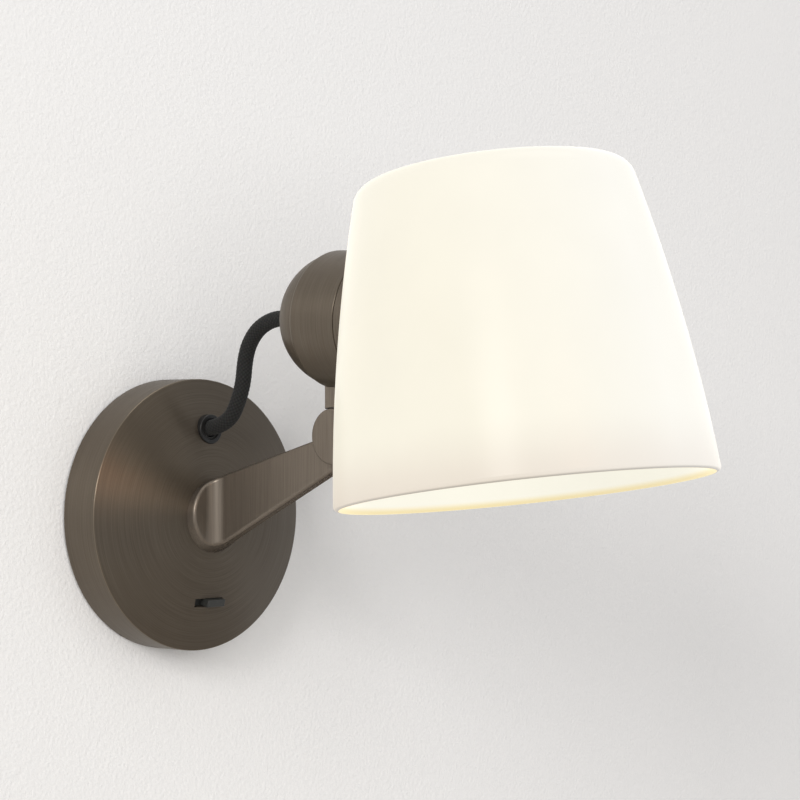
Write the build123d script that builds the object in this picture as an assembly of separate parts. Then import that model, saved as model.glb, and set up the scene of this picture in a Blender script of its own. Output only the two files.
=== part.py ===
from build123d import *
from math import asin, atan, atan2, cos, degrees, hypot, pi, radians, sin, sqrt, tan
import os

os.makedirs("parts", exist_ok=True)

# The lamp's frame has its origin on the wall at the back plate's centre, +X right, +Y into the wall, +Z up.
# Sizes are in millimetres and angles in degrees. "Out" is the distance from the wall, "up" the height.

# Fits
thread_fit = 0.05
running_fit = 0.05
free_clearance = 0.3

# Back plate cover: a turned cup with a domed front
cover_radius = 60.0
cover_wall = 1.6
cover_wall_gap = 0.8
rim_depth = 20.5
dome_rise = 10.7
rim_edge_radius = 0.6
centre_pad_radius = 24.0

# Wall bracket and the grub screws that hold the cover on it
bracket_edge_gap = 3.4
bracket_thickness = 2.0
cable_hole_radius = 9.0
wall_slot_spacing = 64.0
wall_slot_length = 10.0
wall_slot_width = 4.6
tab_width = 16.0
tab_thickness = 2.0
tab_out = 14.0
cover_screw_radius = 2.0
cover_screw_length = 8.0
cover_screw_sink = 0.4
cover_screw_out = 9.0
hex_key_radius = 1.1
hex_key_depth = 2.5

# Terminal block and earth stud on the bracket
block_width = 34.0
block_height = 16.0
block_depth = 12.0
block_drop = 23.0
pole_spacing = 11.0
pole_bore_radius = 1.9
clamp_screw_radius = 2.0
clamp_screw_length = 3.6
clamp_screw_spacing = 7.0
clamp_screw_sink = 0.5
block_screw_radius = 1.5
block_screw_head_radius = 2.8
block_screw_head_height = 2.0
block_floor = 6.0
earth_right = 24.0
earth_up = 22.0
earth_stud_radius = 2.0
earth_stud_length = 12.0
earth_foot_radius = 3.5
earth_foot_height = 0.8
earth_washer_radius = 4.5
earth_washer_thickness = 0.8
earth_nut_flats = 7.0
earth_nut_height = 3.2

# Flex and its gland in the cover
cord_radius = 3.5
gland_up = 37.8
gland_flange_radius = 6.5
gland_barrel_radius = 5.6
gland_seal_thickness = 1.0
gland_proud = 1.8
gland_edge_radius = 0.5
gland_pad_radius = 9.0
gland_nut_flats = 15.0
gland_nut_height = 4.0
gland_thread_tail = 3.0
gland_seal_length = 9.0
core_radius = 1.1
core_offset = 1.4
core_out = 9.5
core_bend = 6.0
core_turn_up = 12.6

# Slide switch behind a slot in the cover
switch_drop = 38.5
switch_slot_width = 16.0
switch_slot_height = 3.8
paddle_width = 10.0
paddle_height = 3.2
paddle_proud = 2.4
paddle_end_gap = 0.4
paddle_edge_radius = 0.4
switch_pad_margin = 2.6
switch_pad_height = 12.0
switch_plate_height = 9.0
switch_plate_thickness = 1.2
switch_case_height = 9.0
switch_case_depth = 7.5
switch_case_wall = 1.4
slider_foot_height = 5.0
slider_foot_depth = 3.2
slider_foot_lap = 0.4
switch_screw_radius = 1.2
switch_screw_head_radius = 2.1
switch_screw_head_height = 1.6
switch_screw_length = 2.4
switch_pin_radius = 0.8
switch_pin_length = 4.0
switch_pin_spacing = 5.0
switch_lead_drop = 4.0
switch_lead_bend = 1.8

# Arm: a round foot on the dome and a tapering leg to the hinge
foot_top = 15.3
foot_low = 16.5
foot_thickness = 3.7
foot_sink = 1.0
arm_edge_radius = 1.4
leg_thickness = 6.8
leg_top_over_pivot = 2.1
leg_side_fillet = 6.0
root_reach = 8.0
arm_plate_radius = 22.0
arm_plate_thickness = 2.5
arm_screw_radius = 2.0
arm_screw_head_radius = 3.8
arm_screw_head_height = 2.6
arm_screw_spacing = 16.0
arm_screw_reach = 6.0
screw_end_gap = 0.8

# Hinge: two half-width discs, the arm's on the left and the neck's on the right
pivot_out = 110.3
pivot_up = 34.75
hinge_radius = 11.65
hinge_half_width = 7.0
hinge_edge_radius = 0.5
hinge_gap = 0.45
friction_washer_thickness = 0.6
friction_washer_radius = 10.5
bolt_shoulder_radius = 3.0
bolt_thread_radius = 2.5
bolt_thread_length = 4.6
bolt_head_radius = 5.0
bolt_head_height = 2.2
bush_wall = 1.2
bush_length = 2.9
spring_washer_radius = 5.6
spring_washer_thickness = 0.4
spring_washer_cone = 0.3
counterbore_radius = 6.2
hinge_cap_thickness = 0.8

# Neck between the hinge and the lamp housing
neck_depth = 8.0
neck_edge_radius = 0.6
neck_rise = 48.8
head_setback = 1.96
head_dip = 2.87
neck_screw_radius = 1.5
neck_screw_head_radius = 2.75
neck_screw_head_height = 1.8
neck_screw_spacing = 8.0
neck_screw_bite = 5.2
neck_pad_height = 1.8
neck_pad_margin = 3.5

# Lamp housing: a short drum with a domed back
housing_radius = 29.0
housing_length = 24.5
housing_dome = 23.5
housing_crease_inset = 0.9
housing_crease_back = 0.85
housing_shoulder = 1.85
housing_wall = 2.0
housing_edge_radius = 0.4
bush_flange_radius = 6.5
bush_flange_thickness = 2.0
bush_sleeve_wall = 1.1
cord_bush_tail = 3.0

# Collar between the housing and the shade
seam_gap = 0.4
shade_stand_off = 2.9
spigot_wall = 2.4
spigot_length = 6.0
collar_web_inset = 2.5
gasket_thickness = 0.8
gasket_inset = 2.0

# Shade: a closed-top glazed cup on its own leaning axis
shade_height = 126.2
shade_rim_radius = 75.8
shade_top_radius = 54.2
shade_bulge = 2.75
shade_wall = 4.0
shade_top_fillet = 8.5
shade_rim_fillet = 1.8
shade_seat_height = 78.9
shade_hole_clearance = 1.0

# Lampholder
sleeve_radius = 19.5
sleeve_flange_clearance = 0.55
sleeve_flange_thickness = 3.0
sleeve_lip = 3.5
saddle_depth = 7.0
ring_thickness = 6.0
ring_overhang = 1.0
ring_grip_count = 12
ring_grip_radius = 1.4
shell_thickness = 0.6
insert_radius = 17.0
insert_depth = 9.0
insert_step = 2.0
holder_cap_radius = 20.0
holder_cap_length = 19.0
holder_cap_wall = 2.0
contact_width = 10.0
contact_height = 4.0
contact_thickness = 0.6
lead_radius = 1.0
lead_offset = 1.5

# Bulb
bulb_cap_radius = 13.0
bulb_cap_length = 22.0
bulb_tip_radius = 4.8
bulb_tip_length = 2.4
bulb_neck_length = 2.5
bulb_body_radius = 19.0
bulb_body_length = 11.5
bulb_globe_radius = 22.5
bulb_globe_wall = 1.2

# The flex's route in the plane x = 0, as (out, up), from inside the gland to inside the housing
cord_route = [
    (19.0, 37.8),
    (38.5, 37.8),
    (48.9, 54.2),
    (50.7, 71.0),
    (57.2, 80.3),
    (67.0, 84.9),
    (77.6, 85.3),
    (88.1, 84.6),
]
cord_run_share = 0.45

# Spheres of the two domes
cover_apex = rim_depth + dome_rise
cover_sphere = (cover_radius**2 + dome_rise**2) / (2 * dome_rise)
cover_centre = cover_apex - cover_sphere
crease_radius = housing_radius - housing_crease_inset
crease_rise = housing_dome - housing_crease_back
housing_sphere = (crease_radius**2 + crease_rise**2) / (2 * crease_rise)
housing_centre = housing_sphere - housing_dome

# The shade's side is an arc of a circle through its rim and its top
shade_chord = hypot(shade_rim_radius - shade_top_radius, shade_height)
shade_arc_radius = (shade_chord**2 / 4 + shade_bulge**2) / (2 * shade_bulge)
shade_taper = atan2(shade_rim_radius - shade_top_radius, shade_height)
shade_arc_depth = shade_arc_radius - shade_bulge
shade_arc_x = (shade_rim_radius + shade_top_radius) / 2 - shade_arc_depth * cos(shade_taper)
shade_arc_z = shade_height / 2 - shade_arc_depth * sin(shade_taper)


def shade_side(height):
    """Outer radius of the shade at a height above its rim."""
    return shade_arc_x + sqrt(shade_arc_radius**2 - (height - shade_arc_z) ** 2)


# The housing's axis meets the shade's side squarely, which sets how far the shade leans
seat_radius = shade_side(shade_seat_height)
seat_slope = degrees(atan((shade_seat_height - shade_arc_z) / (seat_radius - shade_arc_x)))
shade_lean = seat_slope - head_dip
shade_seat = housing_length + shade_stand_off

# Frames: drawn x right, y up, z out along each piece's own axis
head_out = pivot_out - head_setback
head_up = pivot_up + neck_rise
dip = radians(head_dip)
lean = radians(shade_lean)
WALL = Plane(origin=(0, 0, 0), x_dir=(1, 0, 0), z_dir=(0, -1, 0))
HINGE = Plane(origin=(0, -pivot_out, pivot_up), x_dir=(0, 0, 1), z_dir=(1, 0, 0))
HEAD = Plane(origin=(0, -head_out, head_up), x_dir=(1, 0, 0), z_dir=(0, -cos(dip), -sin(dip)))
seat_point = HEAD.origin + HEAD.z_dir * shade_seat
shade_up = Vector(0, sin(lean), cos(lean))
shade_back = Vector(0, cos(lean), -sin(lean))
shade_origin = seat_point - shade_back * seat_radius - shade_up * shade_seat_height
SHADE = Plane(origin=shade_origin, x_dir=(1, 0, 0), z_dir=shade_up)
SIDE = Plane(origin=(0, 0, 0), x_dir=(0, 0, 1), z_dir=(-1, 0, 0))


def rod(radius, start, end):
    """Cylinder along z between two heights."""
    return Pos(0, 0, start) * Cylinder(radius, end - start, align=(Align.CENTER, Align.CENTER, Align.MIN))


def tube(outer, inner, start, end):
    """Ring along z between two heights."""
    return rod(outer, start, end) - rod(inner, start, end)


def block(width, height, start, end):
    """Box centred on z, between two heights."""
    return Pos(0, 0, start) * Box(width, height, end - start, align=(Align.CENTER, Align.CENTER, Align.MIN))


def hexagon(flats, start, end):
    """Hexagonal bar along z, given across its flats."""
    section = RegularPolygon(flats / 2, 6, major_radius=False)
    return Pos(0, 0, start) * extrude(section, end - start)


def turned(outline):
    """Solid turned about z from a closed outline of (radius, height)."""
    return revolve(Plane.XZ * make_face(outline), Axis.Z)


def dome_arc(start_radius, end_radius, sphere, centre, side=1):
    """Arc of a sphere's outline between two radii, on the front (1) or back (-1) of its centre."""
    radii = (start_radius, (start_radius + end_radius) / 2, end_radius)
    return ThreePointArc(*[(r, centre + side * sqrt(sphere**2 - r**2)) for r in radii])


def cover_height(radius, inset=0.0):
    """Distance out from the wall of the cover's dome, or of its inside at an inset."""
    return cover_centre + sqrt((cover_sphere - inset) ** 2 - radius**2)


def bored(solid, radius, start, end, places):
    """The solid with a straight hole along z at each place."""
    for x, y in places:
        solid = solid - Pos(x, y) * rod(radius, start, end)
    return solid


def screw(radius, head_radius, head_height, seat, tip):
    """Screw along z with its head's underside at the seat and its point at the tip."""
    away = -1 if tip > seat else 1
    head = rod(head_radius, min(seat, seat + away * head_height), max(seat, seat + away * head_height))
    return head + rod(radius, min(seat, tip), max(seat, tip))


def round_rim(solid, radius, height, wider_than=0.0):
    """Round the circular edges at a height, leaving out those narrower than a radius."""
    rims = [
        edge
        for edge in solid.edges().filter_by(GeomType.CIRCLE)
        if abs(edge.center().Z - height) < free_clearance and edge.radius > wider_than
    ]
    return fillet(rims, radius)


# Back plate cover

gland_seat = cover_height(gland_up + gland_pad_radius, cover_wall)
centre_seat = cover_height(centre_pad_radius, cover_wall)
arm_screw_places = [(0, arm_screw_spacing / 2), (0, -arm_screw_spacing / 2)]

# The switch stands square to the dome, drawn in a frame whose origin is on the dome's surface
switch_tilt = asin(switch_drop / cover_sphere)
switch_on_wall = Plane(
    origin=(0, -switch_drop, cover_height(switch_drop)),
    x_dir=(1, 0, 0),
    z_dir=(0, -sin(switch_tilt), cos(switch_tilt)),
)
slider_travel = switch_slot_width - paddle_width - 2 * paddle_end_gap
slider_foot_width = switch_slot_width + slider_travel + 2 * slider_foot_lap
slider_room_width = slider_foot_width + slider_travel + 2 * free_clearance
switch_case_width = slider_room_width + 2 * switch_case_wall
switch_screw_side = switch_case_width / 2 + switch_screw_head_radius + free_clearance
switch_screw_places = [(-switch_screw_side, 0), (switch_screw_side, 0)]
switch_pad_width = 2 * (switch_screw_side + switch_pad_margin)
switch_corner = hypot(switch_pad_width / 2, switch_pad_height / 2)
switch_seat = sqrt((cover_sphere - cover_wall) ** 2 - switch_corner**2) - cover_sphere
plate_back = switch_seat - switch_plate_thickness
switch_screw_tip = plate_back + switch_screw_length


def cover_form():
    """Outside of the cover as a full solid."""
    outline = Polyline((0, cover_wall_gap), (cover_radius, cover_wall_gap), (cover_radius, rim_depth))
    outline += dome_arc(cover_radius, 0, cover_sphere, cover_centre)
    outline += Line((0, cover_apex), (0, cover_wall_gap))
    return round_rim(turned(outline), rim_edge_radius, rim_depth)


def cover_cavity():
    """Inside of the cover, flat at its centre where the arm's plate seats."""
    inner_radius = cover_radius - cover_wall
    outline = Polyline(
        (centre_pad_radius, centre_seat),
        (0, centre_seat),
        (0, cover_wall_gap),
        (inner_radius, cover_wall_gap),
        (inner_radius, cover_height(inner_radius, cover_wall)),
    )
    outline += dome_arc(inner_radius, centre_pad_radius, cover_sphere - cover_wall, cover_centre)
    return turned(outline)


def rim_screw_holes(radius):
    """Rods along the two grub screws, at the top and the bottom of the rim."""
    across = Plane(origin=(0, 0, cover_screw_out), x_dir=(1, 0, 0), z_dir=(0, 1, 0))
    return across * rod(radius, -cover_radius, cover_radius)


def make_cover():
    form = cover_form()
    cover = form - cover_cavity()
    gland_pad = Pos(0, gland_up) * rod(gland_pad_radius, gland_seat, cover_apex)
    switch_pad = switch_on_wall * block(switch_pad_width, switch_pad_height, switch_seat, paddle_proud)
    cover = cover + (form & gland_pad) + (form & switch_pad)
    cover = cover - rim_screw_holes(cover_screw_radius + free_clearance)
    switch_holes = block(switch_slot_width, switch_slot_height, switch_seat, paddle_proud)
    for x, y in switch_screw_places:
        screw_hole = rod(switch_screw_radius + thread_fit, switch_seat, switch_screw_tip + free_clearance)
        switch_holes = switch_holes + Pos(x, y) * screw_hole
    cover = cover - switch_on_wall * switch_holes
    cover = bored(cover, gland_barrel_radius + thread_fit, gland_seat, cover_apex, [(0, gland_up)])
    return bored(cover, arm_screw_radius + free_clearance, centre_seat, cover_apex, arm_screw_places)


# Wall bracket, with a bent tab at its top and bottom for the grub screws

bracket_radius = cover_radius - cover_wall - bracket_edge_gap
tab_outside = sqrt(bracket_radius**2 - (tab_width / 2) ** 2)
block_screw_place = (pole_spacing / 2, -block_drop)


def make_bracket():
    bracket = rod(bracket_radius, 0, bracket_thickness) - rod(cable_hole_radius, 0, bracket_thickness)
    slot_face = SlotOverall(wall_slot_length, wall_slot_width)
    for side in (-1, 1):
        slot = Pos(side * wall_slot_spacing / 2, 0) * extrude(slot_face, bracket_thickness)
        tab = Pos(0, side * (tab_outside - tab_thickness / 2)) * block(tab_width, tab_thickness, 0, tab_out)
        bracket = bracket - slot + tab
    bracket = bracket - rim_screw_holes(cover_screw_radius + thread_fit)
    return bored(bracket, block_screw_radius + thread_fit, 0, bracket_thickness, [block_screw_place])


def make_cover_screws():
    top = cover_radius - cover_screw_sink
    grub = rod(cover_screw_radius, top - cover_screw_length, top)
    grub = grub - hexagon(2 * hex_key_radius, top - hex_key_depth, top)
    pair = []
    for side in (-1, 1):
        across = Plane(origin=(0, 0, cover_screw_out), x_dir=(1, 0, 0), z_dir=(0, side, 0))
        pair.append(across * grub)
    return pair


# Terminal block, its clamp screws and its fixing screw

block_top = bracket_thickness + block_depth
pole_places = [-pole_spacing, 0, pole_spacing]
clamp_places = [
    (x, -block_drop + side * clamp_screw_spacing / 2) for x in pole_places for side in (-1, 1)
]
pole_out = bracket_thickness + block_depth / 2


def make_terminal_block():
    body = Pos(0, -block_drop) * block(block_width, block_height, bracket_thickness, block_top)
    for x in pole_places:
        along = Plane(origin=(x, -block_drop, pole_out), x_dir=(1, 0, 0), z_dir=(0, 1, 0))
        body = body - along * rod(pole_bore_radius, -block_height / 2, block_height / 2)
    well = block_top - clamp_screw_sink - clamp_screw_length
    body = bored(body, clamp_screw_radius + thread_fit, well, block_top, clamp_places)
    screw_hole = block_screw_radius + free_clearance
    head_room = block_screw_head_radius + free_clearance
    body = bored(body, screw_hole, bracket_thickness, block_floor, [block_screw_place])
    return bored(body, head_room, block_floor, block_top, [block_screw_place])


def make_clamp_screws():
    end = block_top - clamp_screw_sink
    slug = rod(clamp_screw_radius, end - clamp_screw_length, end)
    slug = slug - block(2 * clamp_screw_radius, clamp_screw_sink, end - clamp_screw_sink, end)
    return [Pos(x, y) * slug for x, y in clamp_places]


def make_block_screw():
    one = screw(
        block_screw_radius, block_screw_head_radius, block_screw_head_height, block_floor, thread_fit
    )
    return Pos(*block_screw_place) * one


def make_earth_stud():
    foot = rod(earth_foot_radius, bracket_thickness, bracket_thickness + earth_foot_height)
    stud = rod(earth_stud_radius, bracket_thickness, bracket_thickness + earth_stud_length)
    return Pos(earth_right, earth_up) * (foot + stud)


def make_earth_nut():
    washer_seat = bracket_thickness + earth_foot_height
    nut_seat = washer_seat + earth_washer_thickness
    bore = earth_stud_radius + thread_fit
    washer = tube(earth_washer_radius, bore, washer_seat, nut_seat)
    nut = hexagon(earth_nut_flats, nut_seat, nut_seat + earth_nut_height)
    nut = nut - rod(bore, nut_seat, nut_seat + earth_nut_height)
    return [Pos(earth_right, earth_up) * piece for piece in (washer, nut)]


# Cable gland, its nut and seal, and the flex

gland_front = cover_height(gland_up) + gland_proud
gland_back = gland_seat - gland_nut_height - gland_thread_tail
gland_bore_radius = cord_radius + gland_seal_thickness
seal_back = gland_back + gland_thread_tail


def make_gland():
    flange = Pos(0, gland_up) * rod(gland_flange_radius, gland_seat, gland_front)
    flange = flange - cover_form()
    barrel = Pos(0, gland_up) * rod(gland_barrel_radius, gland_back, gland_front)
    gland = flange + barrel
    gland = bored(gland, gland_bore_radius, gland_back, gland_front, [(0, gland_up)])
    return round_rim(gland, gland_edge_radius, gland_front)


def make_gland_nut():
    nut = hexagon(gland_nut_flats, gland_seat - gland_nut_height, gland_seat)
    nut = nut - rod(gland_barrel_radius + thread_fit, gland_seat - gland_nut_height, gland_seat)
    return Pos(0, gland_up) * nut


def make_gland_seal():
    outer = gland_bore_radius - thread_fit
    inner = cord_radius + thread_fit
    return Pos(0, gland_up) * tube(outer, inner, seal_back, seal_back + gland_seal_length)


def swept_round(path, radius):
    """Round rod of a radius along a path."""
    start = Plane(origin=path @ 0, z_dir=path % 0)
    return sweep(start * Circle(radius), path=path)


def bend_radii(points):
    """Arc at each corner: a share of the shorter run over the tangent of half the turn."""
    radii = []
    for before, corner, after in zip(points, points[1:], points[2:]):
        first = Vector(*corner) - Vector(*before)
        second = Vector(*after) - Vector(*corner)
        half_turn = radians(first.get_angle(second)) / 2
        radii.append(cord_run_share * min(first.length, second.length) / tan(half_turn))
    return radii


def make_flex():
    points = [(0, up, out) for out, up in cord_route]
    radii = bend_radii(points)
    path = FilletPolyline(*points, radius=radii)
    flex = swept_round(path, cord_radius)
    print("flex radii", [round(radius, 1) for radius in radii], "length", round(path.length, 1))
    filling = flex.volume / (pi * cord_radius**2 * path.length)
    print("flex volume over section times length", round(filling, 5))
    return flex


def make_cord_cores():
    cores = []
    block_face = -block_drop + block_height / 2
    for side in (-1, 1):
        x = side * core_offset
        path = FilletPolyline(
            (x, gland_up, cord_route[0][0]),
            (x, gland_up, core_out),
            (side * pole_spacing, core_turn_up, core_out),
            (side * pole_spacing, block_face, pole_out),
            radius=core_bend,
        )
        cores.append(swept_round(path, core_radius))
    return cores


# Slide switch

case_back = plate_back - switch_case_depth
slider_foot_top = switch_seat - free_clearance
slider_foot_back = slider_foot_top - slider_foot_depth


def make_switch_body():
    plate = block(switch_pad_width, switch_plate_height, plate_back, switch_seat)
    case = block(switch_case_width, switch_case_height, case_back, plate_back)
    room_height = slider_foot_height + 2 * free_clearance
    room = block(slider_room_width, room_height, slider_foot_back - free_clearance, switch_seat)
    hole = switch_screw_radius + free_clearance
    return switch_on_wall * bored(plate + case - room, hole, plate_back, switch_seat, switch_screw_places)


def make_switch_slider():
    """Paddle at the right end of its slot, on a foot that closes the slot at both ends of its travel."""
    paddle = block(paddle_width, paddle_height, slider_foot_top, paddle_proud)
    rounded = paddle.faces().sort_by(Axis.Z)[-1].edges()
    paddle = fillet(rounded, paddle_edge_radius)
    foot = block(slider_foot_width, slider_foot_height, slider_foot_back, slider_foot_top)
    return switch_on_wall * Pos(slider_travel / 2, 0) * (paddle + foot)


def make_switch_screws():
    head = (switch_screw_head_radius, switch_screw_head_height)
    one = screw(switch_screw_radius, *head, plate_back, switch_screw_tip)
    return [switch_on_wall * Pos(x, y) * one for x, y in switch_screw_places]


def make_switch_pins():
    pin = rod(switch_pin_radius, case_back - switch_pin_length, case_back)
    return [switch_on_wall * Pos(side * switch_pin_spacing, 0) * pin for side in (-1, 0, 1)]


def make_switch_leads():
    leads = []
    pin_end = case_back - switch_pin_length
    block_face = -block_drop - block_height / 2
    for side in (-1, 1):
        path = FilletPolyline(
            switch_on_wall.from_local_coords((side * switch_pin_spacing, 0, pin_end)),
            switch_on_wall.from_local_coords((side * switch_pin_spacing, 0, pin_end - switch_lead_drop)),
            (side * pole_spacing, (block_face - switch_drop) / 2, pole_out),
            (side * pole_spacing, block_face, pole_out),
            radius=switch_lead_bend,
        )
        leads.append(swept_round(path, core_radius))
    return leads


# Arm

foot_seat = cover_height(foot_low)
foot_back = foot_seat - foot_sink
foot_front = cover_apex + foot_thickness
root_front = foot_front + root_reach
low_reach = hypot(pivot_out - foot_seat, pivot_up + foot_low)
low_slope = atan2(pivot_up + foot_low, pivot_out - foot_seat) - asin(hinge_radius / low_reach)
top_slope = atan2(pivot_up + leg_top_over_pivot - foot_top, pivot_out - foot_seat)
leg_touch = (pivot_out + hinge_radius * sin(low_slope), pivot_up - hinge_radius * cos(low_slope))
disc_edge = friction_washer_thickness / 2
hinge_on_wall = Plane(origin=(0, pivot_up, pivot_out), x_dir=(0, 1, 0), z_dir=(1, 0, 0))


def arm_low(out):
    """Height of the arm's straight lower edge at a distance from the wall."""
    return (out - foot_seat) * tan(low_slope) - foot_low


def arm_top(out):
    """Height of the arm's straight upper edge at a distance from the wall."""
    return (out - foot_seat) * tan(top_slope) + foot_top


def arm_circle(out):
    """Circle across the arm that touches both its edges."""
    return Pos(0, (arm_top(out) + arm_low(out)) / 2, out) * Circle((arm_top(out) - arm_low(out)) / 2)


def make_leg():
    back = root_front - leg_thickness / 2
    outline = Polyline(
        (back, arm_low(back)),
        leg_touch,
        (pivot_out, pivot_up),
        (pivot_out, arm_top(pivot_out)),
        (back, arm_top(back)),
        close=True,
    )
    leg = extrude(SIDE * make_face(outline), leg_thickness / 2, both=True)
    return fillet(leg.edges().sort_by(SortBy.LENGTH)[-4:], arm_edge_radius)


def make_root():
    """Foot that flows into the leg: a plan outline with hollow corners, cut round by a leaning cone."""
    half = leg_thickness / 2
    plan = make_face(
        Polyline(
            (-foot_low, foot_back),
            (foot_low, foot_back),
            (foot_low, foot_front),
            (half, foot_front),
            (half, root_front),
            (-half, root_front),
            (-half, foot_front),
            (-foot_low, foot_front),
            close=True,
        )
    )
    corners = [v for v in plan.vertices() if abs(v.X) < foot_low and v.Y < root_front]
    plan = fillet(corners, leg_side_fillet)
    cone = loft([arm_circle(foot_back), arm_circle(root_front)])
    root = extrude(Plane.XZ * plan, 2 * foot_low, both=True) & cone
    front_edges = []
    for edge in root.edges():
        middle = edge @ 0.5
        across = hypot(middle.X, middle.Y - (arm_top(middle.Z) + arm_low(middle.Z)) / 2)
        on_cone = abs(across - (arm_top(middle.Z) - arm_low(middle.Z)) / 2) < thread_fit
        if on_cone and foot_front - thread_fit < middle.Z < root_front - thread_fit:
            front_edges.append(edge)
    return fillet(front_edges, arm_edge_radius)


def make_arm():
    disc = rod(hinge_radius, -hinge_half_width, -disc_edge)
    disc = round_rim(disc, hinge_edge_radius, -hinge_half_width)
    arm = make_root() + make_leg() + hinge_on_wall * disc
    arm = arm - cover_form()
    arm = arm - hinge_on_wall * rod(hinge_radius + hinge_gap, -disc_edge, hinge_half_width)
    bolt_hole_end = -disc_edge - bolt_thread_length - screw_end_gap
    arm = arm - hinge_on_wall * rod(bolt_thread_radius + thread_fit, bolt_hole_end, -disc_edge)
    hole_end = cover_apex + arm_screw_reach + screw_end_gap
    return bored(arm, arm_screw_radius + thread_fit, foot_back, hole_end, arm_screw_places)


plate_face = centre_seat - arm_plate_thickness


def make_arm_plate():
    plate = rod(arm_plate_radius, plate_face, centre_seat)
    return bored(plate, arm_screw_radius + free_clearance, plate_face, centre_seat, arm_screw_places)


def make_arm_screws():
    tip = cover_apex + arm_screw_reach
    one = screw(arm_screw_radius, arm_screw_head_radius, arm_screw_head_height, plate_face, tip)
    return [Pos(x, y) * one for x, y in arm_screw_places]


# Hinge hardware, drawn along the hinge's axis from left to right

bush_radius = bolt_shoulder_radius + running_fit + bush_wall
counterbore_floor = disc_edge + bush_length
bolt_seat = counterbore_floor + spring_washer_thickness + spring_washer_cone
bolt_top = bolt_seat + bolt_head_height


def make_friction_washer():
    return tube(friction_washer_radius, bolt_shoulder_radius + running_fit, -disc_edge, disc_edge)


def make_hinge_bolt():
    thread = rod(bolt_thread_radius, -disc_edge - bolt_thread_length, -disc_edge)
    shoulder = rod(bolt_shoulder_radius, -disc_edge, bolt_seat)
    head = rod(bolt_head_radius, bolt_seat, bolt_top)
    socket = hexagon(2 * hex_key_radius, bolt_top - bolt_head_height / 2, bolt_top)
    return thread + shoulder + head - socket


def make_hinge_bush():
    return tube(bush_radius, bolt_shoulder_radius + running_fit, disc_edge, counterbore_floor)


def make_spring_washer():
    inner = bolt_shoulder_radius + running_fit
    return turned(
        Polyline(
            (inner, counterbore_floor + spring_washer_cone),
            (spring_washer_radius, counterbore_floor),
            (spring_washer_radius, counterbore_floor + spring_washer_thickness),
            (inner, bolt_seat),
            close=True,
        )
    )


def make_hinge_cap():
    return rod(counterbore_radius - thread_fit, hinge_half_width - hinge_cap_thickness, hinge_half_width)


# Lamp housing and neck

neck_along = head_setback / cos(dip) + housing_radius * tan(dip)
pad_top = housing_radius - housing_wall - neck_pad_height
neck_screw_tip = housing_radius + neck_screw_bite
bush_barrel_radius = cord_radius + free_clearance + bush_sleeve_wall
shoulder_front = housing_shoulder - housing_crease_back


def housing_form():
    """Outside of the housing as a full solid: a drum, a rounded shoulder, a crease and a dome."""
    shoulder_end = (housing_radius, shoulder_front)
    outline = Polyline(
        (0, -housing_dome),
        (0, housing_length),
        (housing_radius, housing_length),
        shoulder_end,
    )
    outline += TangentArc(shoulder_end, (crease_radius, -housing_crease_back), tangent=(0, -1))
    outline += dome_arc(crease_radius, 0, housing_sphere, housing_centre, -1)
    return turned(outline)


def housing_cavity():
    inner_radius = housing_radius - housing_wall
    inner_sphere = housing_sphere - housing_wall
    step_radius = sqrt(inner_sphere**2 - (housing_centre - shoulder_front) ** 2)
    outline = Polyline(
        (0, housing_centre - inner_sphere),
        (0, housing_length),
        (inner_radius, housing_length),
        (inner_radius, shoulder_front),
        (step_radius, shoulder_front),
    )
    outline += dome_arc(step_radius, 0, inner_sphere, housing_centre, -1)
    return turned(outline)


def neck_screw_frames():
    """One frame for each neck screw, with z pointing down from the head's axis."""
    return [
        Plane(origin=(x, 0, neck_along), x_dir=(1, 0, 0), z_dir=(0, -1, 0))
        for x in (-neck_screw_spacing / 2, neck_screw_spacing / 2)
    ]


def neck_screw_rods(radius, start, end):
    rods = [frame * rod(radius, start, end) for frame in neck_screw_frames()]
    return rods[0] + rods[1]


def make_housing():
    cavity = housing_cavity()
    housing = housing_form() - cavity
    pad_half = neck_depth / 2 + neck_pad_margin
    pad = Pos(0, -housing_radius) * block(
        2 * hinge_half_width + neck_pad_margin,
        2 * (housing_radius - pad_top),
        neck_along - pad_half,
        neck_along + pad_half,
    )
    housing = housing + (cavity & pad)
    housing = housing - neck_screw_rods(neck_screw_radius + free_clearance, pad_top, housing_radius)
    bush_hole = bush_barrel_radius + thread_fit
    housing = housing - rod(bush_hole, -housing_dome, housing_centre - housing_sphere / 2)
    return round_rim(housing, housing_edge_radius, housing_length, housing_radius - housing_wall)


def make_cord_bush():
    inner_face = housing_centre - sqrt((housing_sphere - housing_wall) ** 2 - bush_flange_radius**2)
    flange = rod(bush_flange_radius, inner_face, inner_face + bush_flange_thickness)
    barrel_end = inner_face + bush_flange_thickness + cord_bush_tail
    bush = flange + rod(bush_barrel_radius, -housing_dome, barrel_end)
    return bush - rod(cord_radius + free_clearance, -housing_dome, barrel_end)


def make_neck():
    width = 2 * hinge_half_width
    bar = Pos(0, pivot_up, pivot_out) * Box(
        width, neck_rise, neck_depth, align=(Align.CENTER, Align.MIN, Align.CENTER)
    )
    bar = fillet(bar.edges().filter_by(Axis.Y), neck_edge_radius)
    tongue = rod(hinge_radius, disc_edge, hinge_half_width)
    tongue = round_rim(tongue, hinge_edge_radius, hinge_half_width)
    neck = bar - hinge_on_wall * rod(hinge_radius + hinge_gap, -hinge_half_width, disc_edge)
    neck = neck + hinge_on_wall * tongue
    neck = neck - hinge_on_wall * rod(bush_radius + thread_fit, disc_edge, counterbore_floor)
    neck = neck - hinge_on_wall * rod(counterbore_radius, counterbore_floor, hinge_half_width)
    neck = WALL * neck - HEAD * housing_form()
    hole_end = neck_screw_tip + screw_end_gap / 2
    return neck - HEAD * neck_screw_rods(neck_screw_radius + thread_fit, pad_top, hole_end)


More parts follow.
